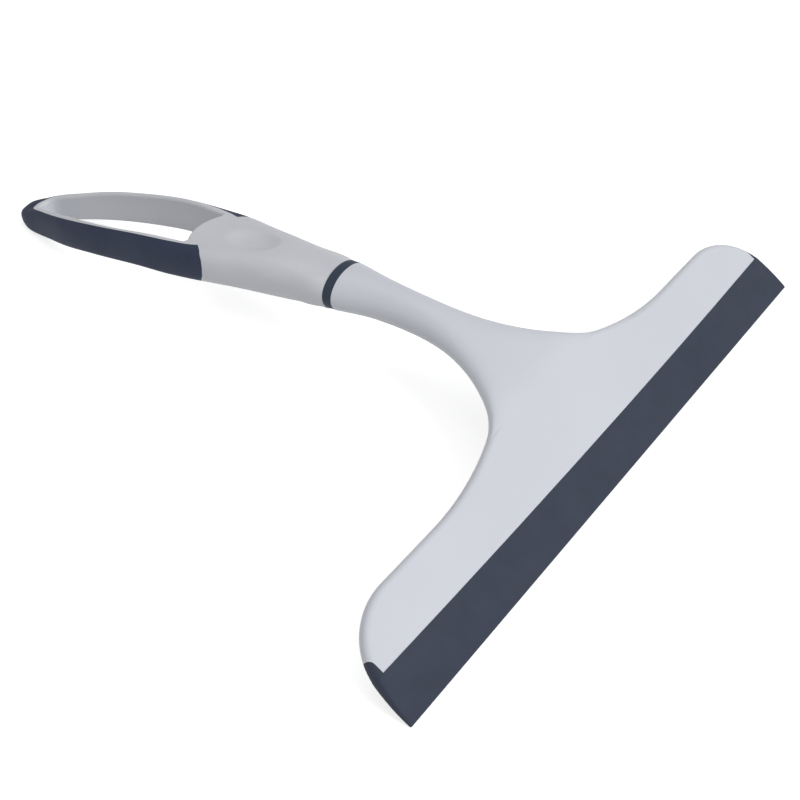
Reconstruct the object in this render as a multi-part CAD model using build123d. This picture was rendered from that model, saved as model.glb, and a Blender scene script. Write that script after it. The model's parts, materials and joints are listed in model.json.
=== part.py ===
from build123d import *
import math
import os

# Shower squeegee, millimetres. It rests on its rubber lip and on the end of its hanging loop.
# It is drawn with the lip's tip at the origin, X along the blade, Y back to the handle, Z up.

# Side view: the middle line runs up the plate, over a bend, along the neck and down the handle
plate_slope = 32.8
plate_run = 37.5
bend_radius = 24.0
neck_slope = 12.0
neck_radius = 268.8
ring_slope = -2.64

# Head plate, in plan on the plate's own plane, measured back from the lip's tip
plate_thickness = 4.6
wing_half_width = 122.1
wing_front = 15.5
front_bow = 1.1
wing_depth = 16.7
wing_corner_width = 24.2
wing_corner_depth = 20.7
rear_flat_end = 72.0
crotch_radius_wide = 115.0
crotch_turn_wide = 18.8
crotch_radius_tight = 28.0
crotch_turn_tight = 28.2
web_tail = 1.2
rim_round = 2.1

# Neck, from where it rises out of the plate to the ring
waist_half_width = 6.95
waist_half_depth = 6.4
ring_half_width = 10.5
ring_half_depth = 7.5
neck_sink_depth = 0.4
neck_sink_length = 2.0
flare_power = 1.4
swell_power = 1.7

# Ring, and the spigot that passes through it into the handle
ring_width = 3.5
spigot_half_width = 7.3
spigot_half_depth = 4.6
spigot_reach = 26.0
spigot_wall = 2.4
spigot_core_depth = 22.0
fit_clearance = 0.15
socket_end_gap = 1.0
barb_from_ring = 17.0
barb_length = 4.0
barb_height = 0.7
barb_width = 5.0

# Rubber blade, moulded round a slotted tongue on the plate's front edge
blade_end_radius = 55.0
blade_step = 0.1
blade_overlap = 0.6
lip_half_thickness = 0.6
lip_shoulder = 0.05
lip_axis_back = 7.0
lip_seam_gap = 0.2
tongue_thickness = 2.0
tongue_end_cover = 7.0
tongue_nose_cover = 1.6
tongue_slot_length = 8.0
tongue_slot_width = 2.4
tongue_slot_pitch = 20.0
ear_depth = 2.8
ear_reach = 6.0

# Handle's middle line, level and downward from the ring's rear face
hand_run = 53.7
hand_drop = 4.2
loop_run = 93.7
loop_drop = 11.0
nose_run = 150.4
nose_drop = 23.8
nose_slope = -13.0

# Handle, measured back from the ring along its middle line
hand_half_width = 12.4
loop_shoulder_half_width = 15.8
loop_widest_at = 86.0
loop_widest_half_width = 16.0
loop_taper_at = 125.0
loop_taper_half_width = 12.2
nose_shoulder_at = 140.5
nose_shoulder_half_width = 8.6
hand_at = 28.0
hand_front_under_depth = 8.2
hand_top_depth = 7.0
hand_under_depth = 8.8
shoulder_top_depth = 6.1
shoulder_under_depth = 7.6
loop_top_depth = 8.1
loop_under_depth = 5.9
hand_fullness = 8.0
loop_top_fullness = 8.5
loop_under_fullness = 30.0
nose_half_width = 1.0
nose_top_depth = 4.6
nose_under_depth = 4.9
nose_round = 17.0
nose_land = 0.3
hand_edge_round = 0.4
grip_start = 50.0
grip_side_lead = 1.8
grip_lead_height = 1.4
grip_foot_sweep = 2.4
grip_brow_sweep = 1.8
grip_shoulder_thickness = 5.6
grip_shoulder_flare = 0.3
grip_thickness = 2.0
grip_taper_thickness = 2.5
grip_nose_thickness = 6.8
grip_rib_height = 4.4
grip_rib_width = 0.9
loop_shoulder_wall = 6.7
loop_shoulder_flare = 0.15
loop_wall = 3.8
loop_taper_wall = 4.9
loop_nose_wall = 9.6
hole_front_step = 0.7
hole_front_bulge = 10.2
hole_corner_round = 0.9
hole_rim_round = 1.2
rim_steepest = 30.0
dimple_at = 39.5
dimple_length_radius = 76.0
dimple_cross_radius = 20.0
dimple_depth = 1.1

# Drawing fineness, and how far cutting shapes run past what they cut
section_points = 32
handle_stations = 16
blade_stations = 5
nose_crowding = 1.5
past = 30.0
rest_rounds = 4

os.makedirs("parts", exist_ok=True)


def direction(angle):
    """Unit vector in the side view, rising at the given angle."""
    return Vector(math.cos(math.radians(angle)), math.sin(math.radians(angle)))


def across(path, distance):
    """Plane square to a middle line at a distance along it, x along the blade and y upwards."""
    share = min(1.0, distance / path.length)
    spot = path.location_at(share)
    return Plane(origin=spot.position, x_dir=(1, 0, 0), z_dir=-path.tangent_at(share))


def oval(half_width, top, under, top_fullness=2.0, under_fullness=2.0):
    """Closed section, half of an ellipse above and below at a fullness of 2, and squarer beyond that."""
    points = []
    for step in range(section_points):
        turn = 2 * math.pi * step / section_points
        depth, fullness = (top, top_fullness) if math.sin(turn) > 0 else (-under, under_fullness)
        depth *= math.sqrt(max(0.0, 1 - abs(math.cos(turn)) ** fullness))
        points.append((half_width * math.cos(turn), depth))
    return make_face(Spline(points, periodic=True))


def eased(stations, distance):
    """Value at a distance, eased in and out between stations of distance and value."""
    for (start, first), (end, last) in zip(stations, stations[1:]):
        if distance <= end:
            share = (distance - start) / (end - start)
            return first + (last - first) * share**2 * (3 - 2 * share)
    return stations[-1][1]


def tilted_plane(origin, slope):
    """Plane that rises to the rear at a slope, x along the blade and y to the rear."""
    rise = direction(slope + 90)
    return Plane(origin=origin, x_dir=(1, 0, 0), z_dir=(0, rise.X, rise.Y))


def prism(plane, outline):
    """Block with a plan outline, reaching past the part on both sides of its plane."""
    return extrude(plane.offset(-past) * outline, amount=2 * past)


def both_sides(edges):
    """Edges drawn on the right, with their mirror images on the left."""
    return [*edges, *[mirror(edge, about=Plane.YZ) for edge in edges]]


# Middle line of the side view
along_plate = direction(plate_slope)
plate_side = Line((0, 0), along_plate * plate_run)
bend_side = JernArc(plate_side @ 1, plate_side % 1, bend_radius, neck_slope - plate_slope)
neck_side = JernArc(bend_side @ 1, bend_side % 1, neck_radius, ring_slope - neck_slope)
ring_side = Line(neck_side @ 1, neck_side @ 1 + (neck_side % 1) * ring_width)
ring_rear = ring_side @ 1
handle_reach = ring_rear.X + nose_run
handle_side = Spline(
    ring_rear,
    ring_rear + (hand_run, -hand_drop),
    ring_rear + (loop_run, -loop_drop),
    ring_rear + (nose_run, -nose_drop),
    tangents=[ring_side % 1, direction(nose_slope)],
)
handle_length = handle_side.length
head_lines = [Plane.YZ * side for side in (plate_side, bend_side, neck_side)]
ring_line = Plane.YZ * ring_side
handle_line = Plane.YZ * handle_side
neck_length = sum(line.length for line in head_lines)
plate_plane = tilted_plane((0, 0, 0), plate_slope)
handle_plane = tilted_plane(handle_line @ 0, -math.degrees(math.atan(nose_drop / nose_run)))


def head_section(distance):
    """Plane square to the middle line at a distance back from the lip's tip."""
    for line in head_lines:
        if distance <= line.length or line is head_lines[-1]:
            return across(line, distance)
        distance -= line.length


# Plan outline of the head: round wings, a flat rear edge and a curve into the neck
half_plate = plate_thickness / 2
wing_rear = wing_front + wing_depth
corner_height = wing_rear - wing_corner_depth
corner_from = math.degrees(math.asin((wing_front - corner_height) / wing_corner_depth))
corner_centre = wing_half_width - wing_corner_width * math.cos(math.radians(corner_from))
front_edge = ThreePointArc(
    (-wing_half_width, wing_front), (0, wing_front - front_bow), (wing_half_width, wing_front)
)
corner = EllipticalCenterArc(
    (corner_centre, corner_height),
    wing_corner_width,
    wing_corner_depth,
    start_angle=corner_from,
    arc_size=90 - corner_from,
)
rear = Line((corner_centre, wing_rear), (rear_flat_end, wing_rear))
crotch_wide = JernArc(rear @ 1, rear % 1, crotch_radius_wide, -crotch_turn_wide)
crotch_tight = JernArc(crotch_wide @ 1, crotch_wide % 1, crotch_radius_tight, -crotch_turn_tight)
root = crotch_wide @ 1
flare_start = crotch_tight @ 1
flare_turn = 90 - crotch_turn_wide - crotch_turn_tight
flare_radius = (flare_start.X - waist_half_width) / (1 - math.cos(math.radians(flare_turn)))
flare = JernArc(flare_start, crotch_tight % 1, flare_radius, -flare_turn)
waist = flare @ 1
swell_out = ring_half_width - waist_half_width
swell_run = neck_length - waist.Y
swell_radius = (swell_out**2 + swell_run**2) / (2 * swell_out)
swell = JernArc(waist, flare % 1, swell_radius, -2 * math.degrees(math.atan(swell_out / swell_run)))

# Head plate: flat, cut to the outline, with a rounded rim
rim = [corner, rear, crotch_wide]
web_end = Line(root, (0, root.Y + web_tail))
plan = make_face([front_edge, *both_sides([*rim, web_end])])
plate = extrude(plate_plane.offset(-half_plate) * plan, amount=plate_thickness)


def on_rim(edge):
    """True for the long edges of the plate's free rim, above and below."""
    middle = plate_plane.to_local_coords(edge @ 0.5)
    flat = Vertex(abs(middle.X), middle.Y, 0)
    near = min(side.distance_to(flat) for side in rim)
    return near < fit_clearance and abs(middle.Z) > half_plate / 2


plate = fillet(plate.edges().filter_by(on_rim), rim_round)


def neck_depth(distance):
    """Half depth of the neck, from the plate's thickness through the waist to the ring."""
    if distance < waist.Y:
        share = (waist.Y - distance) / (waist.Y - root.Y)
        return waist_half_depth + (half_plate - waist_half_depth) * share**flare_power
    share = (distance - waist.Y) / (neck_length - waist.Y)
    return waist_half_depth + (ring_half_depth - waist_half_depth) * share**swell_power


def neck_section(outline, place):
    """Section of the neck at a place on its plan outline, flat and round-rimmed near the plate."""
    point = outline @ place
    depth = neck_depth(point.Y)
    share = max(0.0, (waist.Y - point.Y) / (waist.Y - root.Y))
    rim_power = 2 * point.X * (outline % place).Y / depth
    fullness = 2 + max(0.0, rim_power - 2) * share**2
    return head_section(point.Y) * oval(point.X, depth, depth, fullness, fullness)


# Neck: sections along the outline, from inside the plate to the ring
sunk_depth = half_plate - neck_sink_depth
sunk_fullness = 2 * root.X * (crotch_wide % 1).Y / half_plate
sunk = head_section(root.Y - neck_sink_length) * oval(
    root.X, sunk_depth, sunk_depth, sunk_fullness, sunk_fullness
)
sections = [sunk, neck_section(crotch_tight, 0)]
for outline, steps in ((crotch_tight, 4), (flare, 7), (swell, 3)):
    sections += [neck_section(outline, step / steps) for step in range(1, steps + 1)]
neck = loft(sections)

# Spigot behind the ring, cored out, with a snap barb on each side
axis_plane = tilted_plane(ring_line @ 0, ring_slope)
ring_plane = Plane(origin=ring_line @ 0, x_dir=(1, 0, 0), z_dir=ring_line % 0)
spigot_length = ring_width + spigot_reach


def barb(clearance):
    """Ramped snap barb on the spigot's right side, grown by a clearance for its pocket."""
    tip = spigot_half_width + barb_height + clearance
    front = ring_width + barb_from_ring - clearance
    back = ring_width + barb_from_ring + barb_length + clearance
    ramp = Polyline((0, front), (tip, front), (spigot_half_width + clearance, back), (0, back), close=True)
    return extrude(axis_plane * make_face(ramp), amount=barb_width / 2 + clearance, both=True)


def spigot_bar(clearance, reach):
    """Oval bar on the ring's axis with a barb on each side."""
    bar = Ellipse(spigot_half_width + clearance, spigot_half_depth + clearance)
    barbs = [barb(clearance), mirror(barb(clearance), about=Plane.YZ)]
    return extrude(ring_plane * bar, amount=reach) + barbs


core_oval = Ellipse(spigot_half_width - spigot_wall, spigot_half_depth - spigot_wall)
core_plane = ring_plane.offset(spigot_length - spigot_core_depth)
spigot = spigot_bar(0, spigot_length) - extrude(core_plane * core_oval, amount=spigot_core_depth)

# Rubber ring round the spigot, flush with the neck and the handle
ring_face = oval(ring_half_width, ring_half_depth, ring_half_depth)
ring_face -= Ellipse(spigot_half_width + fit_clearance, spigot_half_depth + fit_clearance)
neck_ring = extrude(ring_plane * ring_face, amount=ring_width)

# Blade taper, and the tongue with slots that the rubber flows through
blade_back = wing_front - front_bow
taper = (half_plate + blade_step - lip_half_thickness) / wing_front
axis_half = lip_half_thickness + taper * lip_axis_back
root_front = lip_axis_back + axis_half + lip_seam_gap
tongue_front = root_front + tongue_nose_cover
tongue_length = wing_front - tongue_front + half_plate
tongue_half_width = wing_half_width - tongue_end_cover
slot_sides = int((tongue_half_width - tongue_slot_length) / tongue_slot_pitch)
slots = GridLocations(tongue_slot_pitch, 1, 2 * slot_sides + 1, 1)
tongue_plan = Pos(Y=tongue_front + tongue_length / 2) * Rectangle(2 * tongue_half_width, tongue_length)
slot = SlotOverall(tongue_slot_length, tongue_slot_width)
slot_row = Pos(Y=(tongue_front + blade_back) / 2) * slots * slot
tongue = extrude(
    plate_plane.offset(-tongue_thickness / 2) * (tongue_plan - slot_row), amount=tongue_thickness
)

# Ears: rubber that wraps a short way up each end of the plate
ear_inner = wing_half_width - ear_depth
ear_edge = Line((ear_inner, blade_back), (ear_inner, wing_front + ear_reach - ear_depth))
ear_rear = wing_front + ear_reach
ear_round = RadiusArc(ear_edge @ 1, (wing_half_width, ear_rear), ear_depth)
well_outside = wing_half_width + past
ear_outer = Polyline(ear_round @ 1, (well_outside, ear_rear), (well_outside, blade_back), ear_edge @ 0)
ear_cut = prism(plate_plane, make_face([ear_edge, ear_round, ear_outer]))
ear_cuts = ear_cut + mirror(ear_cut, about=Plane.YZ)

head = plate + neck + spigot + tongue - ear_cuts

# Blade form: a wedge, just proud of the plate, with round ends that run on from the wings' rim
lean = math.atan2((corner % 0).X, (corner % 0).Y)
blade_start = Vector(wing_half_width + blade_step, wing_front) + (corner % 0) * blade_overlap
blade_end_turn = math.asin(blade_start.Y / blade_end_radius + math.sin(lean)) - lean
blade_end = JernArc(blade_start, -(corner % 0), blade_end_radius, -math.degrees(blade_end_turn))


def blade_section(place):
    """Section across the blade at a place on its end's plan curve, as round-ended as the wings' rim."""
    half_width, distance, _ = blade_end @ place
    half = lip_half_thickness + taper * distance
    spot = plate_plane.from_local_coords((0, distance, 0))
    plane = Plane(origin=spot, x_dir=(1, 0, 0), z_dir=plate_plane.y_dir)
    return plane * RectangleRounded(2 * half_width, 2 * half, rim_round * half / half_plate)


blade_form = loft([blade_section(step / blade_stations) for step in range(blade_stations + 1)])

# The lip that bends has a round back about its bending line, and the fixed root starts just behind it
blade_plane = Plane(origin=(0, 0, 0), x_dir=plate_plane.y_dir, z_dir=(1, 0, 0))


def along_blade(profile):
    """Side profile drawn out along the whole blade."""
    return extrude(blade_plane.offset(-well_outside) * profile, amount=2 * well_outside)


lip_round = axis_half - lip_shoulder
lip_back = ThreePointArc(
    (lip_axis_back, -lip_round), (lip_axis_back + lip_round, 0), (lip_axis_back, lip_round)
)
lip_front = Polyline(
    lip_back @ 1, (lip_axis_back, past), (-past, past), (-past, -past), (lip_axis_back, -past), lip_back @ 0
)
blade_lip = blade_form & along_blade(make_face([lip_back, lip_front]))
behind_lip = along_blade(Pos(X=root_front + past) * Rectangle(2 * past, 2 * past))
root_side = Polyline((wing_half_width, wing_front), (well_outside, wing_front), (well_outside, 0), (0, 0))
root_block = prism(plate_plane, make_face([front_edge, *both_sides([root_side])]))
blade_root = (blade_form & behind_lip & root_block) + (plate & ear_cuts) - head
lip_axis_point = plate_plane.from_local_coords((0, lip_axis_back, 0))

# Handle form: sections along the middle line, from the ring's oval to the squarer loop and its nose
start_slope = (hand_half_width - ring_half_width) / hand_at
handle_outline = Spline(
    (0, ring_half_width),
    (hand_at, hand_half_width),
    (grip_start, loop_shoulder_half_width),
    (loop_widest_at, loop_widest_half_width),
    (loop_taper_at, loop_taper_half_width),
    (nose_shoulder_at, nose_shoulder_half_width),
    (handle_length, nose_half_width),
    tangents=[(1, start_slope), (0, -1)],
)


depth_places = [0, hand_at, grip_start, loop_widest_at, handle_length]
top_steps = [ring_half_depth, hand_top_depth, shoulder_top_depth, loop_top_depth, nose_top_depth]
under_steps = [
    hand_front_under_depth, hand_under_depth, shoulder_under_depth, loop_under_depth, nose_under_depth
]
top_depths = list(zip(depth_places, top_steps))
under_depths = list(zip(depth_places, under_steps))
top_fullness = [(0, 2), (grip_start, hand_fullness), (loop_widest_at, loop_top_fullness)]
under_fullness = [(0, 2), (grip_start, hand_fullness), (loop_widest_at, loop_under_fullness)]


def handle_section(place):
    """Section of the handle at a place on its plan outline, rounding off at the nose."""
    distance, half_width, _ = handle_outline @ place
    into_nose = max(0.0, distance - (handle_length - nose_round)) / (nose_round + nose_land)
    rounding = math.sqrt(1 - into_nose**2)
    top = eased(top_depths, distance) * rounding
    under = eased(under_depths, distance) * rounding
    fullness = eased(top_fullness, distance), eased(under_fullness, distance)
    return across(handle_line, distance) * oval(half_width, top, under, *fullness)


steps = [1 - (1 - step / handle_stations) ** nose_crowding for step in range(handle_stations + 1)]
form = loft([handle_section(step) for step in steps])
front_plane = across(handle_line, 0)
front_rim = [edge for edge in form.edges() if abs(front_plane.to_local_coords(edge @ 0.5).Z) < fit_clearance]
form = fillet(front_rim, hand_edge_round)


def loop_plan(flare, shoulder_inset, inset, taper_inset, nose_inset):
    """Plan face that keeps inside the loop's outline, from ahead of the grip's start to the nose."""
    shoulder = loop_shoulder_half_width - shoulder_inset
    side = Spline(
        (shoulder, grip_start),
        (loop_widest_half_width - inset, loop_widest_at),
        (loop_taper_half_width - taper_inset, loop_taper_at),
        (nose_shoulder_half_width - inset, nose_shoulder_at - nose_inset / 2),
        (0, handle_length - nose_inset),
        tangents=[(flare, 1), (-1, 0)],
    )
    lead = Line((shoulder, grip_start - body_half), side @ 0)
    return make_face([*both_sides([lead, side]), Line(lead @ 0, (-shoulder, grip_start - body_half))])


# Split of the form: a hard core with a keying rib, and a soft grip round the outside of the loop
body_half = loop_shoulder_half_width
grip_side = Plane(
    origin=across(handle_line, grip_start).origin,
    x_dir=-across(handle_line, grip_start).z_dir,
    z_dir=(1, 0, 0),
)
grip_end = ThreePointArc(
    (grip_foot_sweep, -shoulder_under_depth),
    (-grip_side_lead, grip_lead_height),
    (grip_brow_sweep, shoulder_top_depth),
)
core_end = Polyline(
    grip_end @ 1, (grip_brow_sweep, past), (-grip_start - past, past),
    (-grip_start - past, -past), (grip_foot_sweep, -past), grip_end @ 0,
)
core = prism(grip_side, make_face([grip_end, core_end]))
grip_insets = [grip_shoulder_thickness, grip_thickness, grip_taper_thickness, grip_nose_thickness]
core += prism(handle_plane, loop_plan(grip_shoulder_flare, *grip_insets))
rib_plan = loop_plan(grip_shoulder_flare, *[inset - grip_rib_width for inset in grip_insets])
rib_band = Plane.YZ * trace(handle_side, grip_rib_height)
core += prism(handle_plane, rib_plan) & extrude(rib_band, amount=past, both=True)
loop_grip = form - core

# Hanging hole, with the rounded end of the hand piece standing into it
hole_front = grip_start + hole_front_step
body_end = ThreePointArc(
    (-body_half, hole_front), (0, hole_front + hole_front_bulge), (body_half, hole_front)
)
body_plan = make_face([body_end, Polyline(body_end @ 0, (-body_half, 0), (body_half, 0), body_end @ 1)])
loop_walls = [loop_shoulder_wall, loop_wall, loop_taper_wall, loop_nose_wall]
hole_plan = loop_plan(loop_shoulder_flare, *loop_walls) - body_plan
hole_plan = fillet(hole_plan.vertices().sort_by(Axis.Y)[:2], hole_corner_round)
hole = prism(handle_plane, hole_plan)


def on_hole_rim(edge):
    """True for the edges where the hole breaks the loop's skin, above and below."""
    middle = handle_plane.to_local_coords(edge @ 0.5)
    flat = Vertex(middle.X, middle.Y, 0)
    near = min(side.distance_to(flat) for side in hole_plan.edges())
    level = abs((edge % 0.5).dot(handle_plane.z_dir)) < math.sin(math.radians(rim_steepest))
    return level and near < fit_clearance


# Thumb dimple, and the socket that the spigot snaps into
thumb_plane = across(handle_line, dimple_at)
thumb_top = eased(top_depths, dimple_at)
dimple_wheel = Rot(Y=90) * Torus(dimple_length_radius - dimple_cross_radius, dimple_cross_radius)
dimple = thumb_plane * Pos(Y=thumb_top + dimple_length_radius - dimple_depth) * dimple_wheel
socket = spigot_bar(fit_clearance, spigot_length + socket_end_gap)
handle = (form & core) - hole
handle = fillet(handle.edges().filter_by(on_hole_rim), hole_rim_round) - dimple - socket

# At rest: tipped until the lip and the loop both touch the table, then centred over the origin
tip = 0.0
for _ in range(rest_rounds):
    heights = [(Rot(X=tip) * piece).bounding_box().min.Z for piece in (blade_lip, loop_grip)]
    tip -= math.degrees(math.atan((heights[1] - heights[0]) / handle_reach))

nodes = {
    "head": head,
    "blade_root": blade_root,
    "blade_lip": blade_lip,
    "neck_ring": neck_ring,
    "handle": handle,
    "loop_grip": loop_grip,
}
around = Compound(children=[Rot(X=tip) * piece for piece in nodes.values()]).bounding_box()
rest = Pos(0, -around.center().Y, -around.min.Z) * Rot(X=tip)
for name, piece in nodes.items():
    export_step(rest * piece, f"parts/{name}.step")
print("tip", tip, "moved", rest.position, "lip bends about", (rest * Pos(lip_axis_point)).position)
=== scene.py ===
"""Looks of the shower squeegee: satin grey mouldings, dark soft rubber, and a plain pale studio."""

import json
import math

import bmesh
import bpy
import numpy as np
from mathutils import Matrix, Vector


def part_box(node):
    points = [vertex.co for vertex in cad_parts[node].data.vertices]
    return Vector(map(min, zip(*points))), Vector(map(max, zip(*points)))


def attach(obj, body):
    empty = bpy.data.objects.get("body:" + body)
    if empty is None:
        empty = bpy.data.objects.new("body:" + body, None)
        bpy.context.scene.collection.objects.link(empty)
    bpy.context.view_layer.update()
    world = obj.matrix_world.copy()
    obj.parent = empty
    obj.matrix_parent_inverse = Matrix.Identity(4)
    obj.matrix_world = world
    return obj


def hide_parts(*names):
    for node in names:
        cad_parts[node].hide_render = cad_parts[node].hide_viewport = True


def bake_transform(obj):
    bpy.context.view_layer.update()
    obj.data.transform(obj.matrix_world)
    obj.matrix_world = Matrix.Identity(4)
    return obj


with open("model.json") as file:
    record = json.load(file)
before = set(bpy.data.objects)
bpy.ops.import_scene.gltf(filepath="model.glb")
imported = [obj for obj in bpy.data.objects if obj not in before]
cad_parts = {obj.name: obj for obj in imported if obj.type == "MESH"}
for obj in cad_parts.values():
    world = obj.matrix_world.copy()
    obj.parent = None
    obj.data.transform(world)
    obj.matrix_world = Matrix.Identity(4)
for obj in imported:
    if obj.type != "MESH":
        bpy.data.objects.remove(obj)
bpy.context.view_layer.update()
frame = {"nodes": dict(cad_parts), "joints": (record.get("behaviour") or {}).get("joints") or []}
nodes = frame["nodes"]
scene = bpy.context.scene

MM = 0.001

# The photograph's camera, in the squeegee's own frame
CAMERA_PLACE = (-0.3448, -0.27291, 0.32791)
CAMERA_RIGHT = (0.56087, -0.82783, 0.01092)
CAMERA_UP = (0.51961, 0.36226, 0.7738)
CAMERA_BACK = (-0.64453, -0.42833, 0.63333)
CAMERA_LENS = 69.75
CAMERA_SENSOR = 36.0

# Rubber blade, from the lip's thin edge back to the front of its moulded root, in rows of place and squeeze;
# the plate's slope is the head's own, less the tip of the whole squeegee on its table
PLATE_SLOPE = 32.8 - 0.7554
LIP_TO_BEND = 7.0 * MM
LIP_HALF_THICKNESS = 0.6 * MM
BLADE_END_RADIUS = 55.0 * MM
LIP_ROWS = tuple((distance, 1.0) for distance in (8.1, 7.6, 7.1, 6.6, 6.1, 5.6, 5.1, 4.2, 3.2, 2.2, 1.2, 0.5))
LIP_EDGE = ((0.2, 0.97), (0.05, 0.82), (0.0, 0.6))
BLADE_CREASE = 35.0
MERGE_WITHIN = 0.002 * MM
FRONT_WITHIN = 0.02 * MM

# Handle's middle line in side view, back from the middle of the ring, in millimetres along and up
MIDDLE_LINE = ((0.0, 0.0), (1.75, -0.1), (55.4, -5.0), (95.3, -12.35), (151.8, -25.9))
TOP_DEPTH = 6.5
UNDER_DEPTH = 7.0
SIDE_REACH = 14.0

# Trims that ease the handle's form, by place along the middle line: millimetres added, or a growth;
# the ones named OUT and the grip front's TOP go by distance to the side, and its FADE by height
TOP_TRIM = ((1.75, -0.25), (7, -0.35), (22, 0.1), (36, -0.15), (52, 0), (77, 0.15), (104, 0.1), (116, 0))
UNDER_TRIM = ((1.75, 0.2), (6, 0.75), (13, 0.2), (21, -0.4), (32, -0.3), (44, -0.1), (54, 0))
SIDE_TRIM = ((1.75, 0), (7, 0.1), (22, 0.05), (36, -0.15), (54, 0.35), (64, 0.15), (92, 0))
NOSE_SIDE_GROWTH = ((104, 1.0), (116, 1.02), (128, 1.04), (136, 1.06), (142, 1.03), (147, 0.97), (152, 0.92))
NOSE_TOP_GROWTH = ((104, 1.0), (116, 1.03), (136, 1.03), (146, 1.05), (149, 1.12), (152, 1.2))
NOSE_CROWN = ((145, 0), (152, 0.55))
NOSE_CROWN_OUT = ((0, 1), (7.5, 0))
NOSE_DRAW_IN = ((132, 0), (147, -1.2), (152, -0.4))
NOSE_ROUNDING = ((144, 0), (152, -1.8))
NOSE_EDGE_LIFT = ((90, 0), (110, 0.35), (130, 0.65), (142, 0.85), (152, 0.85))
NOSE_EDGE_OUT = ((1.5, 0), (6.5, 1))
GRIP_FRONT_REACH = ((37, 0), (51, 1), (67, 0))
GRIP_FRONT_TOP = ((9.4, 0), (10.3, 0.9), (11.2, 0.2), (12.4, -0.9), (13.4, -1.2))
GRIP_FRONT_FOOT = 0.5
GRIP_FRONT_FADE = ((-6.0, -1.0), (-1.0, 0.0), (2.0, 0.6), (4.0, 1.0))
HANDLE_CREASE = 32.0

# Thumb dish: its middle behind the ring in millimetres, how far up its bed faces, the degree of its rim's
# curve, its depth at the front and rear as a share, and the shallow hollow round it
DISH_MIDDLE = 41.3
DISH_UPWARD = 0.9
DISH_RIM_DEGREE = 3
DISH_FRONT_SHARE = 1.35
DISH_REAR_SHARE = 0.9
HOLLOW_DEPTH = 0.6
HOLLOW_ALONG = ((30, 0), (44, 1), (64, 0))
HOLLOW_OUT = ((0, 1), (10, 0))

# Shoulder of the handle whose skin is drawn in evener triangles: where it is, along and out in millimetres,
# its longest edge, the angle in degrees under which it counts as flat, and the passes made
SHOULDER_ALONG = (32.0, 70.0)
SHOULDER_OUT = 5.0
SHOULDER_EDGE = 0.8
SHOULDER_FLAT = 4.0
SHOULDER_PASSES = 3

# Colours as written, red, green and blue from 0 to 255
HEAD_GREY = (211, 214, 222)
HANDLE_GREY = (210, 212, 218)
BLADE_SLATE = (55, 62, 77)
RING_SLATE = (52, 64, 79)
GRIP_SLATE = (51, 60, 81)
FLOOR_WHITE = (215, 215, 215)

# Satin plastic: sizes of its clouds, handling marks and grain in metres, and the looks that they drive
PLASTIC_CLOUDS = 0.035
PLASTIC_MARKS = 0.012
PLASTIC_GRAIN = 0.00035
PLASTIC_GRAIN_DEPTH = 0.00002
PLASTIC_GRAIN_STRENGTH = 0.25
PLASTIC_TONES = (0.985, 1.015)
PLASTIC_ROUGHNESS = (0.36, 0.46)
PLASTIC_IOR = 1.49
PLASTIC_SPECULAR = 0.4

# Soft rubber: sizes of its bloom, patches and grain in metres, and the looks that they drive
RUBBER_BLOOM = 0.008
RUBBER_PATCHES = 0.02
RUBBER_GRAIN = 0.0003
GRIP_GRAIN = 0.0004
RUBBER_GRAIN_DEPTH = 0.00003
RUBBER_GRAIN_STRENGTH = 0.35
RUBBER_TONES = (0.93, 1.07)
RUBBER_ROUGHNESS = (0.62, 0.74)
RUBBER_SPECULAR = 0.25
RUBBER_SHEEN = 0.03
RUBBER_SHEEN_ROUGHNESS = 0.5

# Studio: floor and backdrop, in metres, with their glow to the camera; the surround; lamps by name, place,
# size and power
FLOOR_GLOW = 0.7
FLOOR_ROUGHNESS = 0.9
FLOOR_HALF = 6.0
BACKDROP_HEIGHT = 2.0
SURROUND_STRENGTH = 0.4
LAMPS = (
    ("key", (-0.05, -1.28, 0.95), 1.0, 13.8),
    ("top", (0.2, 0.3, 1.6), 1.4, 3.0),
    ("fill", (-1.4, 0.6, 0.8), 1.2, 2.4),
)


def linear(colour):
    """Colour as the shaders take it, from red, green and blue written from 0 to 255."""
    shares = [part / 255 for part in colour]
    return [s / 12.92 if s <= 0.04045 else ((s + 0.055) / 1.055) ** 2.4 for s in shares] + [1.0]


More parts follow.
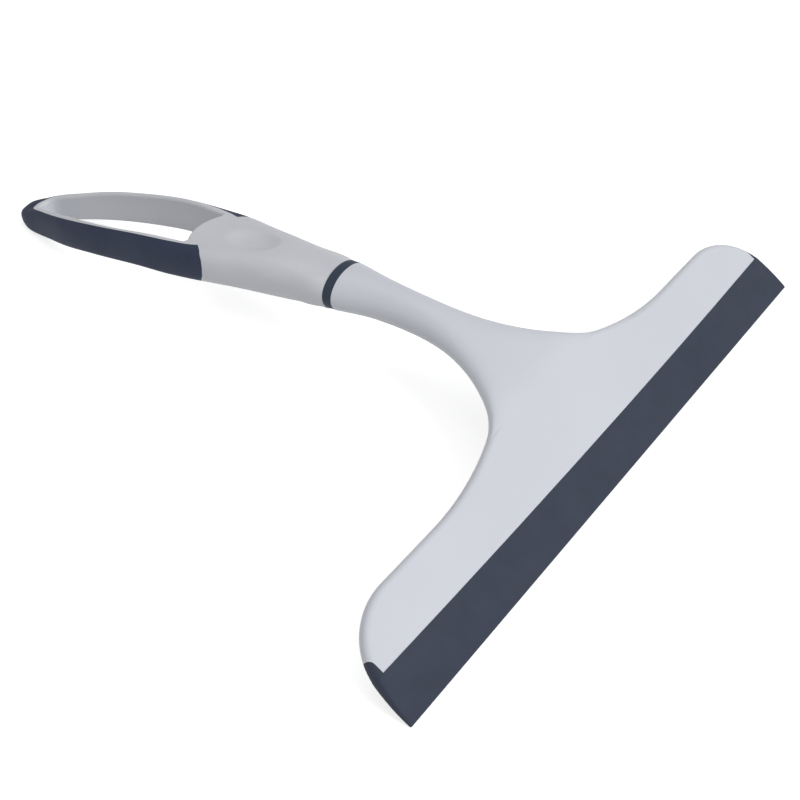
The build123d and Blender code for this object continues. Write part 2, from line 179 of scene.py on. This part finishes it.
class Finish:
    """A material and short ways to add and join its nodes."""

    def __init__(self, name):
        self.material = bpy.data.materials.new(name)
        self.material.use_nodes = True
        self.tree = self.material.node_tree
        self.shader = self.tree.nodes["Principled BSDF"]
        self.place = self.add("ShaderNodeTexCoord").outputs["Object"]

    def add(self, kind, **values):
        """New node with its properties."""
        node = self.tree.nodes.new(kind)
        for key, value in values.items():
            setattr(node, key, value)
        return node

    def join(self, source, target):
        """Link from an output to an input."""
        self.tree.links.new(source, target)

    def noise(self, size, detail=2.0, roughness=0.5):
        """Noise whose grains are about a given size in metres."""
        mapping = self.add("ShaderNodeMapping")
        mapping.inputs["Scale"].default_value = [1 / size] * 3
        self.join(self.place, mapping.inputs["Vector"])
        node = self.add("ShaderNodeTexNoise")
        node.inputs["Scale"].default_value = 1.0
        node.inputs["Detail"].default_value = detail
        node.inputs["Roughness"].default_value = roughness
        self.join(mapping.outputs["Vector"], node.inputs["Vector"])
        return node.outputs["Fac"]

    def spread(self, source, low, high, start=0.3, end=0.7):
        """Value from low to high as the source goes from start to end."""
        node = self.add("ShaderNodeMapRange")
        for key, value in (("From Min", start), ("From Max", end), ("To Min", low), ("To Max", high)):
            node.inputs[key].default_value = value
        self.join(source, node.inputs["Value"])
        return node.outputs["Result"]

    def blend(self, share, first, second):
        """Colour between two, by a share from 0 to 1."""
        node = self.add("ShaderNodeMix", data_type="RGBA")
        for socket in node.inputs:
            if socket.type == "RGBA":
                socket.default_value = first if socket.name == "A" else second
        self.join(share, node.inputs["Factor"])
        return next(s for s in node.outputs if s.type == "RGBA")

    def tint(self, source, base, tones):
        """Base colour that goes from a darker to a lighter tone with the source."""
        share = self.spread(source, 0.0, 1.0)
        colour = self.blend(share, *(scaled(base, tone) for tone in tones))
        self.join(colour, self.shader.inputs["Base Color"])

    def bump(self, height, depth, strength):
        """Small relief of a given depth in metres."""
        node = self.add("ShaderNodeBump")
        node.inputs["Strength"].default_value = strength
        node.inputs["Distance"].default_value = depth
        self.join(height, node.inputs["Height"])
        return node.outputs["Normal"]


def scaled(colour, share):
    """Colour made lighter or darker by a share."""
    return [min(1.0, part * share) for part in colour[:3]] + [1.0]


def moulded_plastic(name, colour):
    """Satin moulded plastic: a fine even grain, faint flow clouds and a slightly uneven gloss."""
    finish = Finish(name)
    clouds = finish.noise(PLASTIC_CLOUDS, detail=3.0)
    finish.tint(clouds, linear(colour), PLASTIC_TONES)
    handling = finish.noise(PLASTIC_MARKS, detail=4.0, roughness=0.6)
    finish.join(finish.spread(handling, *PLASTIC_ROUGHNESS), finish.shader.inputs["Roughness"])
    grain = finish.noise(PLASTIC_GRAIN)
    relief = finish.bump(grain, PLASTIC_GRAIN_DEPTH, PLASTIC_GRAIN_STRENGTH)
    finish.join(relief, finish.shader.inputs["Normal"])
    finish.shader.inputs["IOR"].default_value = PLASTIC_IOR
    finish.shader.inputs["Specular IOR Level"].default_value = PLASTIC_SPECULAR
    return finish.material


def soft_rubber(name, colour, grain_size):
    """Dark soft rubber: a matte grain, a faint bloom and broad low-gloss patches."""
    finish = Finish(name)
    bloom = finish.noise(RUBBER_BLOOM, detail=5.0, roughness=0.65)
    finish.tint(bloom, linear(colour), RUBBER_TONES)
    patches = finish.noise(RUBBER_PATCHES, detail=3.0)
    finish.join(finish.spread(patches, *RUBBER_ROUGHNESS), finish.shader.inputs["Roughness"])
    grain = finish.noise(grain_size, detail=3.0, roughness=0.6)
    relief = finish.bump(grain, RUBBER_GRAIN_DEPTH, RUBBER_GRAIN_STRENGTH)
    finish.join(relief, finish.shader.inputs["Normal"])
    finish.shader.inputs["Specular IOR Level"].default_value = RUBBER_SPECULAR
    finish.shader.inputs["Sheen Weight"].default_value = RUBBER_SHEEN
    finish.shader.inputs["Sheen Roughness"].default_value = RUBBER_SHEEN_ROUGHNESS
    return finish.material


def dress(piece, material):
    """Gives a piece one material."""
    piece.data.materials.clear()
    piece.data.materials.append(material)


head_finish = moulded_plastic("head_plastic", HEAD_GREY)
handle_finish = moulded_plastic("handle_plastic", HANDLE_GREY)
blade_finish = soft_rubber("blade_rubber", BLADE_SLATE, RUBBER_GRAIN)
ring_finish = soft_rubber("ring_rubber", RING_SLATE, RUBBER_GRAIN)
grip_finish = soft_rubber("grip_rubber", GRIP_SLATE, GRIP_GRAIN)
for name, finish in (
    ("head", head_finish),
    ("handle", handle_finish),
    ("neck_ring", ring_finish),
    ("loop_grip", grip_finish),
):
    dress(nodes[name], finish)


def merged_copy(node, rework=None):
    """Mesh of a node, reworked face by face if asked, with its loose faces joined for editing."""
    shape = bmesh.new()
    shape.from_mesh(nodes[node].data)
    if rework:
        rework(shape)
    bmesh.ops.remove_doubles(shape, verts=shape.verts, dist=MERGE_WITHIN)
    return shape


def soften(shape, crease):
    """Smooth shading, except across edges that turn by more than the crease angle."""
    for face in shape.faces:
        face.smooth = True
    for edge in shape.edges:
        edge.smooth = len(edge.link_faces) == 2 and edge.calc_face_angle(0.0) < math.radians(crease)


def as_piece(shape, name, finish):
    """Object made from an edited mesh, with its material."""
    mesh = bpy.data.meshes.new(name)
    shape.to_mesh(mesh)
    shape.free()
    piece = bpy.data.objects.new(name, mesh)
    scene.collection.objects.link(piece)
    dress(piece, finish)
    return piece


def curve(stations, at):
    """Smooth values at places, through stations of place and value, and level beyond both ends."""
    places, values = np.transpose(stations).astype(float)
    slopes = np.zeros(len(places))
    slopes[1:-1] = (values[2:] - values[:-2]) / (places[2:] - places[:-2])
    at = np.clip(at, places[0], places[-1])
    left = np.clip(np.searchsorted(places, at) - 1, 0, len(places) - 2)
    gap = places[left + 1] - places[left]
    share = (at - places[left]) / gap
    rest = 1 - share
    level = values[left] * (1 + 2 * share) * rest**2 + values[left + 1] * (3 - 2 * share) * share**2
    return level + gap * share * rest * (slopes[left] * rest - slopes[left + 1] * share)


def ring_middle():
    """Middle of the rubber ring between neck and handle."""
    low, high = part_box("neck_ring")
    return (low + high) / 2


def eased_form(points):
    """Points of the handle, moved a little where the real form is fuller, flatter or more evenly curved."""
    side, along, up = ((points - np.array(ring_middle())) / MM).T
    up = up - curve(MIDDLE_LINE, along)
    above, below = np.clip(up, 0, None), np.clip(up, None, 0)
    rise = curve(TOP_TRIM, along) * above / TOP_DEPTH + curve(UNDER_TRIM, along) * below / UNDER_DEPTH
    crown = curve(NOSE_CROWN, along) * curve(NOSE_CROWN_OUT, abs(side))
    rise = rise + (curve(NOSE_TOP_GROWTH, along) - 1 + crown) * above
    rise = rise - curve(NOSE_EDGE_LIFT, along) * curve(NOSE_EDGE_OUT, abs(side)) * below / UNDER_DEPTH
    hollow = HOLLOW_DEPTH * curve(HOLLOW_ALONG, along) * curve(HOLLOW_OUT, abs(side))
    rise = rise - hollow * above / TOP_DEPTH
    spread = side * (curve(SIDE_TRIM, along) / SIDE_REACH + curve(NOSE_SIDE_GROWTH, along) - 1)
    fade = curve(GRIP_FRONT_FADE, up)
    front = curve(GRIP_FRONT_TOP, abs(side)) * np.clip(fade, 0, 1) + GRIP_FRONT_FOOT * np.clip(-fade, 0, 1)
    back = curve(NOSE_DRAW_IN, along) + curve(NOSE_ROUNDING, along) * (above / TOP_DEPTH) ** 2
    back = back + front * curve(GRIP_FRONT_REACH, along)
    follow = curve(MIDDLE_LINE, along + back) - curve(MIDDLE_LINE, along)
    return points + np.stack((spread, back, rise + follow), axis=1) * MM


def soft_dish(shape):
    """Eases the thumb dish, whose faces are still loose from the rest, into the handle's top."""
    middle = ring_middle() + Vector((0, DISH_MIDDLE * MM, 0))
    upward = [face for face in shape.faces if face.normal.z > DISH_UPWARD]
    bed = min(upward, key=lambda face: (face.calc_center_median() - middle).xy.length)
    dish, fresh = {bed}, [bed]
    while fresh:
        near = {face for edge in fresh.pop().edges for face in edge.link_faces} - dish
        dish |= near
        fresh += near
    corners = [corner for corner in shape.verts if not dish.isdisjoint(corner.link_faces)]
    rim_places = np.array([corner.co for corner in corners if corner.is_boundary]) / MM
    top = np.polyfit(rim_places[:, 1], rim_places[:, 2], DISH_RIM_DEGREE)
    front, rear = rim_places[:, 1].min(), rim_places[:, 1].max()
    inner = [corner for corner in corners if not corner.is_boundary]
    depths = [np.polyval(top, corner.co.y / MM) - corner.co.z / MM for corner in inner]
    deepest = max(depths)
    for corner, depth in zip(inner, depths):
        share = min(1.0, max(0.0, depth / deepest))
        back = (corner.co.y / MM - front) / (rear - front)
        fullness = DISH_FRONT_SHARE + (DISH_REAR_SHARE - DISH_FRONT_SHARE) * back
        soft = deepest * share**2 * (3 - 2 * share) * fullness
        corner.co.z += (depth - soft) * MM


def even_shoulder(shape):
    """Evener triangles on the handle's shoulder, so that its skin can be moved without folding."""
    ring = ring_middle()

    def on_shoulder(face):
        out, along, _ = (face.calc_center_median() - ring) / MM
        return SHOULDER_ALONG[0] < along < SHOULDER_ALONG[1] and abs(out) > SHOULDER_OUT

    def skin_edges():
        return [edge for edge in shape.edges if any(on_shoulder(face) for face in edge.link_faces)]

    for _ in range(SHOULDER_PASSES):
        long_edges = [edge for edge in skin_edges() if edge.calc_length() > SHOULDER_EDGE * MM]
        bmesh.ops.subdivide_edges(shape, edges=long_edges, cuts=1)
        bmesh.ops.triangulate(shape, faces=[face for face in shape.faces if len(face.verts) > 3])
        limit = math.radians(SHOULDER_FLAT)
        flat_edges = [edge for edge in skin_edges() if edge.calc_face_angle(math.pi) < limit]
        skin = [face for face in shape.faces if on_shoulder(face)]
        bmesh.ops.beautify_fill(shape, faces=skin, edges=flat_edges)
        bmesh.ops.remove_doubles(shape, verts=shape.verts, dist=MERGE_WITHIN)


def eased_piece(node, name, finish, rework=None, refine=None):
    """Closed piece with a handle node's shape, its form eased."""
    shape = merged_copy(node, rework)
    if refine:
        refine(shape)
    places = eased_form(np.array([v.co for v in shape.verts]))
    for corner, place in zip(shape.verts, places):
        corner.co = place
    soften(shape, HANDLE_CREASE)
    piece = as_piece(shape, name, finish)
    weighing = piece.modifiers.new("even_shading", "WEIGHTED_NORMAL")
    weighing.keep_sharp = True
    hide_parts(node)
    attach(piece, "squeegee")


eased_piece("handle", "hand_piece", handle_finish, soft_dish, even_shoulder)
eased_piece("loop_grip", "grip_sleeve", grip_finish)


def wiping_blade():
    """One unbroken rubber blade: the moulded root, drawn out in rows to the thin edge of its lip."""
    joint = frame["joints"][0]
    bend_line = Vector(joint["pos_m"])
    to_root = Vector((0, math.cos(math.radians(PLATE_SLOPE)), math.sin(math.radians(PLATE_SLOPE))))
    upward = Vector((0, -to_root.z, to_root.y))
    tip = bend_line - to_root * LIP_TO_BEND

    def along(point):
        return (point - tip).dot(to_root)

    shape = merged_copy("blade_root")
    front = min(along(v.co) for v in shape.verts)
    face_front = [f for f in shape.faces if all(along(v.co) < front + FRONT_WITHIN for v in f.verts)]
    bmesh.ops.delete(shape, geom=face_front, context="FACES_ONLY")
    rim = [e for e in shape.edges if len(e.link_faces) == 1]
    start = rim[0].verts[0]
    ring, here, came = [start], start, None
    while True:
        step = next(e for e in here.link_edges if e in rim and e is not came)
        here, came = step.other_vert(here), step
        if here is start:
            break
        ring.append(here)

    spots = [((v.co - tip).x, (v.co - tip).dot(upward)) for v in ring]
    half_width = max(abs(x) for x, _ in spots)
    half_depth = max(abs(z) for _, z in spots)
    lip_half_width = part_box("blade_lip")[1].x
    last = ring
    for distance, squeeze in LIP_ROWS + LIP_EDGE:
        share = distance * MM / front
        depth = (LIP_HALF_THICKNESS + (half_depth - LIP_HALF_THICKNESS) * share) / half_depth
        bow = distance * MM * (front - distance * MM) / (2 * BLADE_END_RADIUS)
        reach = lip_half_width + (half_width - lip_half_width) * share + bow
        fresh = []
        for x, z in spots:
            inward = (half_width - abs(x)) * (depth if half_width - abs(x) < half_depth else 1.0)
            place = tip + to_root * distance * MM + upward * z * depth * squeeze
            place.x = math.copysign(reach - inward - (1 - squeeze) * half_depth * depth, x)
            fresh.append(shape.verts.new(place))
        for i, corner in enumerate(fresh):
            shape.faces.new((last[i], corner, fresh[i - 1], last[i - 1]))
        last = fresh
    shape.faces.new(last)
    bmesh.ops.recalc_face_normals(shape, faces=shape.faces)
    soften(shape, BLADE_CREASE)
    blade = as_piece(shape, "wiping_blade", blade_finish)
    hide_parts("blade_root", "blade_lip")
    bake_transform(blade)


wiping_blade()


def studio():
    """Pale floor and backdrop that read as white, soft lamps and an even surround."""
    floor_mesh = bpy.data.meshes.new("floor")
    square = [(x * FLOOR_HALF, y * FLOOR_HALF) for x, y in ((-1, -1), (1, -1), (1, 1), (-1, 1))]
    corners = [(x, y, z) for z in (0, BACKDROP_HEIGHT) for x, y in square]
    walls = [((i + 1) % 4, i, i + 4, (i + 1) % 4 + 4) for i in range(4)]
    floor_mesh.from_pydata(corners, [], [(0, 1, 2, 3), *walls])
    floor = bpy.data.objects.new("floor", floor_mesh)
    scene.collection.objects.link(floor)
    paint = Finish("floor_paper")
    paint.shader.inputs["Base Color"].default_value = linear(FLOOR_WHITE)
    paint.shader.inputs["Roughness"].default_value = FLOOR_ROUGHNESS
    paint.shader.inputs["Specular IOR Level"].default_value = 0.0
    seen = paint.add("ShaderNodeLightPath")
    total = seen.outputs["Is Camera Ray"]
    for kind in ("Is Glossy Ray", "Is Transmission Ray"):
        either = paint.add("ShaderNodeMath", operation="MAXIMUM")
        paint.join(total, either.inputs[0])
        paint.join(seen.outputs[kind], either.inputs[1])
        total = either.outputs["Value"]
    glow = paint.add("ShaderNodeMath", operation="MULTIPLY")
    glow.inputs[1].default_value = FLOOR_GLOW
    paint.join(total, glow.inputs[0])
    paint.shader.inputs["Emission Color"].default_value = (1, 1, 1, 1)
    paint.join(glow.outputs["Value"], paint.shader.inputs["Emission Strength"])
    floor_mesh.materials.append(paint.material)

    world = bpy.data.worlds.new("surround")
    scene.world = world
    world.use_nodes = True
    surround = world.node_tree.nodes["Background"]
    surround.inputs["Color"].default_value = (1, 1, 1, 1)
    surround.inputs["Strength"].default_value = SURROUND_STRENGTH

    for name, place, size, power in LAMPS:
        lamp = bpy.data.lights.new(name, "AREA")
        lamp.shape = "DISK"
        lamp.size = size
        lamp.energy = power
        holder = bpy.data.objects.new(name, lamp)
        scene.collection.objects.link(holder)
        holder.location = place
        holder.rotation_euler = (-Vector(place)).to_track_quat("-Z", "Y").to_euler()


def photo_camera():
    """Camera at the photograph's place and angle."""
    lens = bpy.data.cameras.new("photo_camera")
    lens.sensor_width = CAMERA_SENSOR
    lens.lens = CAMERA_LENS
    camera = bpy.data.objects.new("photo_camera", lens)
    scene.collection.objects.link(camera)
    turn = Matrix((CAMERA_RIGHT, CAMERA_UP, CAMERA_BACK)).transposed()
    camera.matrix_world = Matrix.Translation(CAMERA_PLACE) @ turn.to_4x4()
    scene.camera = camera


studio()
photo_camera()
scene.view_settings.view_transform = "Standard"
